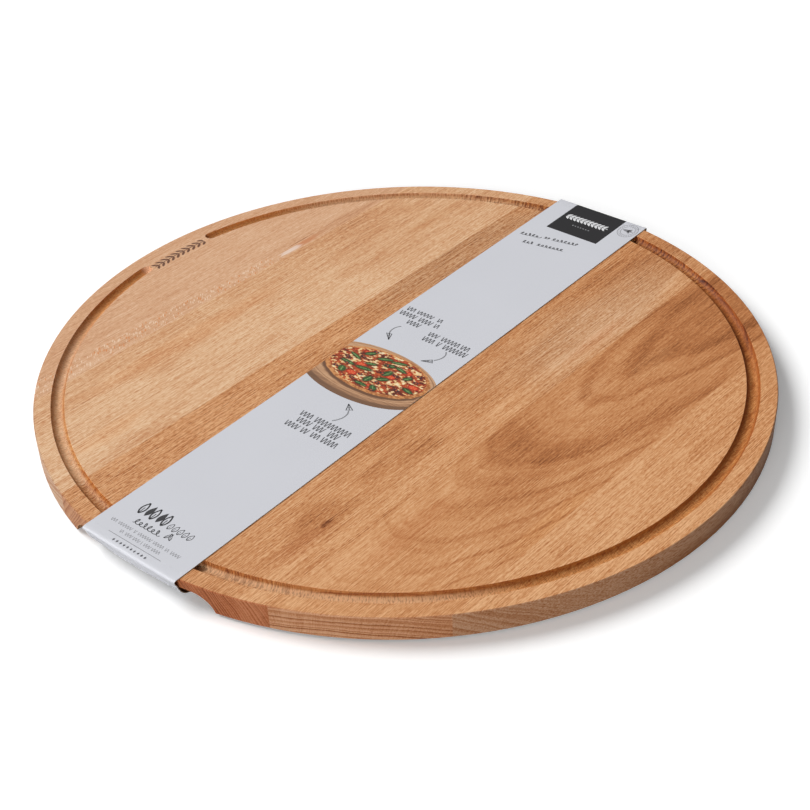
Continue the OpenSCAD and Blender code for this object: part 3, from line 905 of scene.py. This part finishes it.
def paint_dish(x, y):
    """The picture's colour at every point of the card that it covers, on the 0-255 screen scale."""
    up = (x - dish_x) / flatten
    fine = value_noise(y * 1.1, up * 1.1, 1)
    finer = value_noise(y * 2.3, up * 2.3, 2)
    broad = value_noise(y * 0.33, up * 0.33, 3)
    rim = np.hypot((y - dish_y) / dish_half_y, (x - dish_x) / dish_half_x)
    canvas = np.zeros(x.shape + (3,))

    def over(mask, *colour):
        """Paints a colour over the canvas where the mask is 1."""
        canvas[:] += np.clip(mask, 0, 1)[..., None] * (np.array(colour, float) - canvas)

    # the board's side below its top, with a pale arris, then its top with grain and juice line
    near_rim = dish_x - dish_half_x * np.sqrt(np.clip(1 - ((y - dish_y) / dish_half_y) ** 2, 0, 1))
    depth = np.clip((near_rim - x) / dish_side, 0, 1)
    grain = value_noise(y * 0.12, up * 1.4, 4)
    over(np.ones_like(x), 176, 132, 98)
    over(step_up(depth, 0.35, 0.5), 126, 92, 68)
    over(0.5 * step_up(grain, 0.4, 0.9), 108, 76, 54)
    top = step_up(rim, 1.004, 0.992)
    over(top, 205, 162, 124)
    over(top * 0.45 * step_up(grain, 0.3, 0.9), 170, 122, 86)
    over(top * 0.7 * step_up(np.abs(rim - 0.955), 0.016, 0.008), 150, 106, 76)

    # the bread's shadow, its browned crust and the sauce
    wobble = 0.03 * (value_noise(y * 0.22, up * 0.22, 5) - 0.5)

    def bread(shift=0.0):
        """The share of the way from the bread's middle to its wavy edge, moved up by a shift."""
        return np.hypot((y - bread_y) / bread_half_y, (x - bread_x - shift) / bread_half_x) + wobble

    over(0.75 * step_up(bread(-2.2), 1.04, 0.97) * (top > 0), 84, 52, 34)
    crust = step_up(bread(), 1.0, 0.985)
    over(crust, 214, 150, 92)
    over(0.8 * crust * step_up(fine * 0.6 + broad * 0.5, 0.45, 0.75), 158, 90, 46)
    inner = step_up(bread(0.6), 0.925, 0.90)
    over(inner, 172, 66, 32)
    over(inner * step_up(fine, 0.45, 0.8) * 0.8, 214, 104, 50)
    over(inner * step_up(finer * 0.45 + broad * 0.55, 0.48, 0.62) * 0.9, 84, 32, 24)
    cheese = value_noise(y * 0.5 + 9, up * 0.5, 6) * 0.7 + fine * 0.3
    over(inner * step_up(cheese, 0.54, 0.64), 240, 196, 132)
    over(inner * step_up(cheese, 0.68, 0.80), 246, 228, 190)
    over(inner * step_up(finer, 0.8, 0.92) * 0.8, 132, 58, 24)

    # slices of tomato, leaves of basil and rings of olive, strewn by a fixed random draw
    draw = np.random.default_rng(11)

    def spots(count, room, gap):
        """Middles drawn over the bread, within a share of its size and a gap apart."""
        kept = []
        while len(kept) < count:
            spot = draw.uniform(-1, 1, 2)
            if np.hypot(*spot) < room and all(np.hypot(*(spot - other)) > gap for other in kept):
                kept.append(spot)
        return [(bread_y + a * bread_half_y, bread_x + b * bread_half_x) for a, b in kept]

    def oval(spot, turn, half_a, half_b):
        """The share of the way from a turned oval's middle to its edge, and a place along its axes."""
        dy, dx = y - spot[0], (x - spot[1]) / flatten
        c, s = math.cos(turn), math.sin(turn)
        a, b = dy * c + dx * s, dx * c - dy * s
        return np.hypot(a / half_a, b / half_b), a, b

    for spot in spots(tomatoes, 0.8, 0.45):
        away, a, b = oval(spot, 0.0, tomato_r, tomato_r)
        over(inner * step_up(away, 1.12, 0.95), 150, 34, 20)
        over(inner * step_up(away, 0.95, 0.8), 214, 66, 36)
        seeds = step_up(away, 0.78, 0.6) * step_up(np.cos(5 * np.arctan2(b, a)), 0.0, 0.6)
        over(inner * 0.7 * seeds, 240, 150, 92)
    for spot in spots(leaves, 0.84, 0.22):
        turn = draw.uniform(0, math.pi)
        away, a, b = oval(spot, turn, draw.uniform(4.0, 6.2), draw.uniform(2.0, 3.0))
        over(inner * 0.6 * step_up(away, 1.5, 1.0), 70, 30, 18)
        over(inner * step_up(away, 1.08, 0.92), 48, 82, 40)
        over(inner * 0.8 * step_up(away, 0.9, 0.4) * step_up(fine, 0.35, 0.8), 112, 146, 82)
        over(inner * 0.7 * step_up(away, 0.95, 0.8) * step_up(np.abs(b), 0.35, 0.15), 168, 196, 128)
    for spot in spots(olives, 0.85, 0.22):
        away, a, b = oval(spot, 0.0, olive_r, olive_r)
        over(inner * step_up(away, 1.1, 0.9), 46, 34, 40)
        over(inner * step_up(away, 0.5, 0.36), 190, 92, 44)
        over(inner * 0.6 * step_up(np.abs(away - 0.72), 0.14, 0.05) * (b > 0), 120, 104, 112)
    return canvas


def food_picture(rows=230, columns=150):
    """A grid between the dish's lower and upper outline, which are half ovals over the width."""
    y = np.linspace(sleeve_y1 - 0.02, sleeve_y0 + 0.02, rows)
    half = dish_half_x * np.sqrt(1 - ((y - dish_y) / dish_half_y) ** 2)
    low, high = dish_x - half - dish_side, dish_x + half
    share = np.linspace(0, 1, columns)
    x = low[:, None] + (high - low)[:, None] * share
    y = y[:, None] + 0 * x
    piece = grid_mesh("food_picture", np.stack([x, y, 0 * x + ink_height], -1))
    tint = piece.data.attributes.new("tint", "FLOAT_COLOR", "POINT")
    tint.data.foreach_set("color", np.dstack([to_light(paint_dish(x, y)), np.ones(x.shape)]).ravel())
    return piece


picture = food_picture()
picture_ink, picture_tree = blank_material("food_ink")
picture_tint = node(picture_tree, "Attribute", attribute_name="tint").outputs["Color"]
surface(picture_tree, {"Base Color": picture_tint, "Roughness": 0.5})
picture.data.materials.append(picture_ink)
film(picture)

# Light, floor and camera. A pale table in an even white surround, with one soft lamp behind the
# board and another low at its left. The camera is the one that was fitted to the board's outline.

floor_half = 6.0
floor_tone_on_board = 0.08
floor_glow = 0.14
surround_level = 0.16

floor_mesh = bpy.data.meshes.new("floor")
floor_mesh.from_pydata([(x * floor_half, y * floor_half, 0)
                        for x, y in ((-1, -1), (1, -1), (1, 1), (-1, 1))], [], [(0, 1, 2, 3)])
floor = bpy.data.objects.new("floor", floor_mesh)
bpy.context.scene.collection.objects.link(floor)
floor_look, floor_tree = blank_material("pale_floor")
rays = node(floor_tree, "LightPath")
seen = calc(floor_tree, "MAXIMUM", rays.outputs["Is Camera Ray"], calc(
    floor_tree, "MAXIMUM", rays.outputs["Is Glossy Ray"], rays.outputs["Is Transmission Ray"]))
floor_colour = lay(floor_tree, (*(floor_tone_on_board,) * 3, 1.0), seen, (1.0, 1.0, 1.0, 1.0))
floor_shader = node(floor_tree, "BsdfDiffuse", {"Color": floor_colour})
floor_lift = node(floor_tree, "Emission", {"Strength": times(floor_tree, seen, floor_glow)})
node(floor_tree, "OutputMaterial", {"Surface": node(floor_tree, "AddShader", {
    0: floor_shader.outputs[0], 1: floor_lift.outputs[0]}).outputs[0]})
floor_mesh.materials.append(floor_look)

world = bpy.data.worlds.new("surround")
bpy.context.scene.world = world
world.use_nodes = True
world_tree = world.node_tree
world_tree.nodes.clear()
world_rays = node(world_tree, "LightPath")
world_seen = calc(world_tree, "MAXIMUM", world_rays.outputs["Is Camera Ray"],
                  world_rays.outputs["Is Transmission Ray"])
world_level = calc(world_tree, "MULTIPLY_ADD", world_seen, 1.0 - surround_level, surround_level)
node(world_tree, "OutputWorld", {"Surface": node(world_tree, "Background", {
    "Color": (1, 1, 1, 1), "Strength": world_level}).outputs[0]})


def toward(azimuth, elevation):
    """The direction from the board to an azimuth and elevation in degrees."""
    azimuth, elevation = math.radians(azimuth), math.radians(elevation)
    return Vector((math.cos(azimuth) * math.cos(elevation), math.sin(azimuth) * math.cos(elevation),
                   math.sin(elevation)))


def sun(name, strength, spread, azimuth, elevation):
    """A sun that shines from an azimuth and elevation, its disc spread over some degrees."""
    data = bpy.data.lights.new(name, "SUN")
    data.energy = strength
    data.angle = math.radians(spread)
    lamp = bpy.data.objects.new(name, data)
    bpy.context.scene.collection.objects.link(lamp)
    lamp.rotation_euler = toward(azimuth, elevation).to_track_quat("Z", "Y").to_euler()


sun("lamp", strength=3.0, spread=34, azimuth=100, elevation=42)
sun("fill", strength=3.0, spread=45, azimuth=200, elevation=9)

camera_turn, camera_rise, camera_roll = (math.radians(v) for v in (-49.1718, 36.2445, -2.3939))
camera_distance, camera_right, camera_up = 907.26, 0.13, -15.17
focal_px, photo_px = 1493.26, 810
sensor_w = 36.0
back = Vector((math.sin(camera_turn) * math.cos(camera_rise),
               -math.cos(camera_turn) * math.cos(camera_rise), math.sin(camera_rise)))
level_right = Vector((math.cos(camera_turn), math.sin(camera_turn), 0))
level_up = back.cross(level_right)
right = level_right * math.cos(camera_roll) + level_up * math.sin(camera_roll)
upward = level_up * math.cos(camera_roll) - level_right * math.sin(camera_roll)
camera_data = bpy.data.cameras.new("camera")
camera_data.sensor_width = sensor_w
camera_data.lens = sensor_w * focal_px / photo_px
camera = bpy.data.objects.new("camera", camera_data)
bpy.context.scene.collection.objects.link(camera)
spot = (back * camera_distance + right * camera_right + upward * camera_up
        + Vector((0, 0, board_bottom))) * MM
camera.matrix_world = Matrix.Translation(spot) @ Matrix((right, upward, back)).transposed().to_4x4()
bpy.context.scene.camera = camera
bpy.context.scene.view_settings.view_transform = "Standard"
